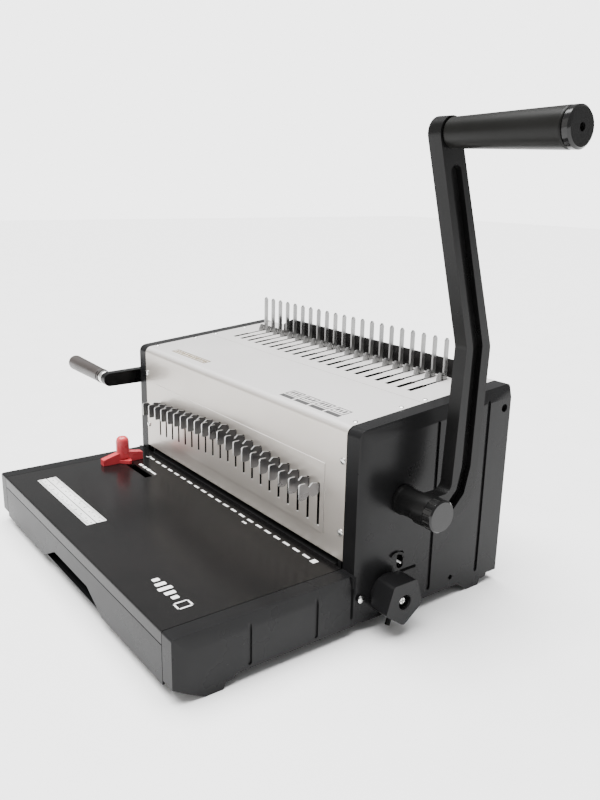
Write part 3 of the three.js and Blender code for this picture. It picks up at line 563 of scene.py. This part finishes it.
def recess_details():
    """The bent bracket, the rod end and the link beside the knob, and two thin dark sheets on the cover
    there, painted shade standing in for its slot openings.
    """
    bm = bmesh.new()
    x = SIDE_X
    path = [(-103.5, 59.5), (-101, 61.5), (-96, 61.8), (-92, 60.2), (-90.2, 57), (-90.2, 50)]
    half_thick = 1.1
    for (y0, z0), (y1, z1) in zip(path, path[1:]):
        along = Vector((0, y1 - y0, z1 - z0)).normalized()
        side = Vector((0, -along.z, along.y)) * half_thick
        ring = [Vector((0, y0, z0)) - side, Vector((0, y1, z1)) - side, Vector((0, y1, z1)) + side,
                Vector((0, y0, z0)) + side]
        slab(bm, [at(x + 0.2, p.y, p.z) for p in ring], Vector(), Vector((1.6 * MM, 0, 0)))
    lathe(bm, [(0, 0), (2, 0), (2.2, 0.4), (2.2, 8.4), (0, 8.4)], at(x + 6, -106.5, 10.5),
          Vector((0.1, -0.42, -0.9)).normalized(), 16)
    bracket = piece("stop_bracket", bm, M["lever"], "frame", "black_lever")
    bm = bmesh.new()
    lathe(bm, [(0, 0), (1.5, 0), (1.7, 0.3), (1.7, 6.5), (1.2, 7), (0, 7)], at(x - 2.2, -97.5, 55),
          Vector((0.35, 0.75, -0.55)).normalized(), 16)
    link = piece("stop_link", bm, M["zinc"], "frame", "zinc_plated")
    bm = bmesh.new()
    # Painted shade: thin near-black sheets on the cover where its slot openings are.
    for y0, y1, z0, z1 in ((-92, -74, 42.2, 44.8), (-144.6, -142.2, 16, 43)):
        ring = rounded(y0, y1, z0, z1, 1.0)
        slab(bm, [at(x + 0.05, y, z) for y, z in ring], Vector(), Vector((0.12 * MM, 0, 0)))
    slots = piece("cover_slot_shade", bm, M["dark"], "frame", "black_plastic")
    return bracket, link, slots


def opener_fittings():
    """The steel collar and the black ring between the opener's arm and its grip."""
    grip_low, grip_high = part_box("opener_grip")
    centre = (grip_low + grip_high) / 2
    start = Vector((grip_high.x, centre.y, centre.z))
    bm = bmesh.new()
    lathe(bm, [(6.2, 0.1), (7.2, 0.4), (7.4, 1.2), (7.4, 7.2), (7.0, 8.0), (6.2, 8.3)], start, RIGHT, 40)
    collar = piece("opener_collar", bm, M["zinc"], "opener", "zinc_plated")
    bm = bmesh.new()
    ring = [(7.0, -4.8), (7.9, -4.7), (8.2, -4.2), (8.2, -3.6), (7.9, -3.1), (7.0, -3.0)]
    lathe(bm, ring, start, RIGHT, 40)
    return collar, piece("opener_ring", bm, M["lever"], "opener", "black_lever")


def hook_loops():
    """The bent loop at the foot of each pin, which carries the comb's fingers forward."""
    bm = bmesh.new()
    foot = top_at(-2) + 0.5
    for k in range(HOLES):
        x = FIRST_HOLE + HOLE_PITCH * k
        for x0, x1, z0, z1 in HOOK_BARS:
            ring = rounded(x + x0, x + x1, foot + z0, foot + z1, 0.35)
            slab(bm, [at(px, HOOK_Y, pz) for px, pz in ring], Vector(), Vector((0, HOOK_DEPTH * MM, 0)))
    return piece("hook_loops", bm, M["pins"], "carriage", "zinc_plated")


screws()
opener_fittings()
hook_loops()
deck_marks()
deck_pictogram()
ruler()
top_labels()
recess_details()


# ------------------------------------------------------------------ floor, light, camera


def stage_set():
    bm = bmesh.new()
    corners = [(-FLOOR_HALF, -FLOOR_HALF), (FLOOR_HALF, -FLOOR_HALF), (FLOOR_HALF, FLOOR_HALF),
               (-FLOOR_HALF, FLOOR_HALF)]
    bm.faces.new([bm.verts.new((x, y, -0.0002)) for x, y in corners])
    mesh = bpy.data.meshes.new("floor")
    bm.to_mesh(mesh)
    bm.free()
    floor = bpy.data.objects.new("floor", mesh)
    bpy.context.scene.collection.objects.link(floor)
    pale = Paint("pale_floor", ((0.86, 0.86, 0.86), (0.88, 0.88, 0.88)), (0.6, 0.7))
    dress(floor, pale.material)


def sun(name, towards, power, colour=(1, 1, 1)):
    data = bpy.data.lights.new(name, "SUN")
    data.energy = power
    data.angle = math.radians(SUN_SPREAD)
    data.color = colour
    lamp = bpy.data.objects.new(name, data)
    lamp.rotation_euler = Vector(towards).to_track_quat("-Z", "Y").to_euler()
    bpy.context.scene.collection.objects.link(lamp)


def lights():
    """A broad light from above over a white floor, in a dimmer room with a white backdrop."""
    world = bpy.data.worlds.new("studio")
    bpy.context.scene.world = world
    world.use_nodes = True
    tree = world.node_tree
    background = tree.nodes["Background"]
    background.inputs["Color"].default_value = (1.0, 1.0, 1.0, 1)
    ray = tree.nodes.new("ShaderNodeLightPath")
    level = tree.nodes.new("ShaderNodeMapRange")
    level.inputs["To Min"].default_value = ROOM_LEVEL
    level.inputs["To Max"].default_value = BACKDROP_LEVEL
    tree.links.new(ray.outputs["Is Camera Ray"], level.inputs["Value"])
    tree.links.new(level.outputs["Result"], background.inputs["Strength"])
    sun("overhead", (0.12, 0.1, -1), OVERHEAD_POWER)
    sun("front_fill", (0.25, 1, -0.35), FILL_POWER, (1, 0.97, 0.93))


def camera():
    level = Vector((-math.sin(CAMERA_TURN), math.cos(CAMERA_TURN), 0))
    ahead = level * math.cos(CAMERA_LIFT) - Vector((0, 0, math.sin(CAMERA_LIFT)))
    side = ahead.cross(Vector((0, 0, 1))).normalized()
    up = side.cross(ahead)
    right = side * math.cos(CAMERA_ROLL) + up * math.sin(CAMERA_ROLL)
    top = up * math.cos(CAMERA_ROLL) - side * math.sin(CAMERA_ROLL)
    data = bpy.data.cameras.new("camera")
    data.sensor_width = 36
    data.lens = CAMERA_LENS
    data.clip_start = 0.02
    data.clip_end = 60
    cam = bpy.data.objects.new("camera", data)
    pose = Matrix((right, top, -ahead)).transposed().to_4x4()
    pose.translation = at(*CAMERA_AT)
    cam.matrix_world = pose
    bpy.context.scene.collection.objects.link(cam)
    bpy.context.scene.camera = cam


stage_set()
lights()
camera()
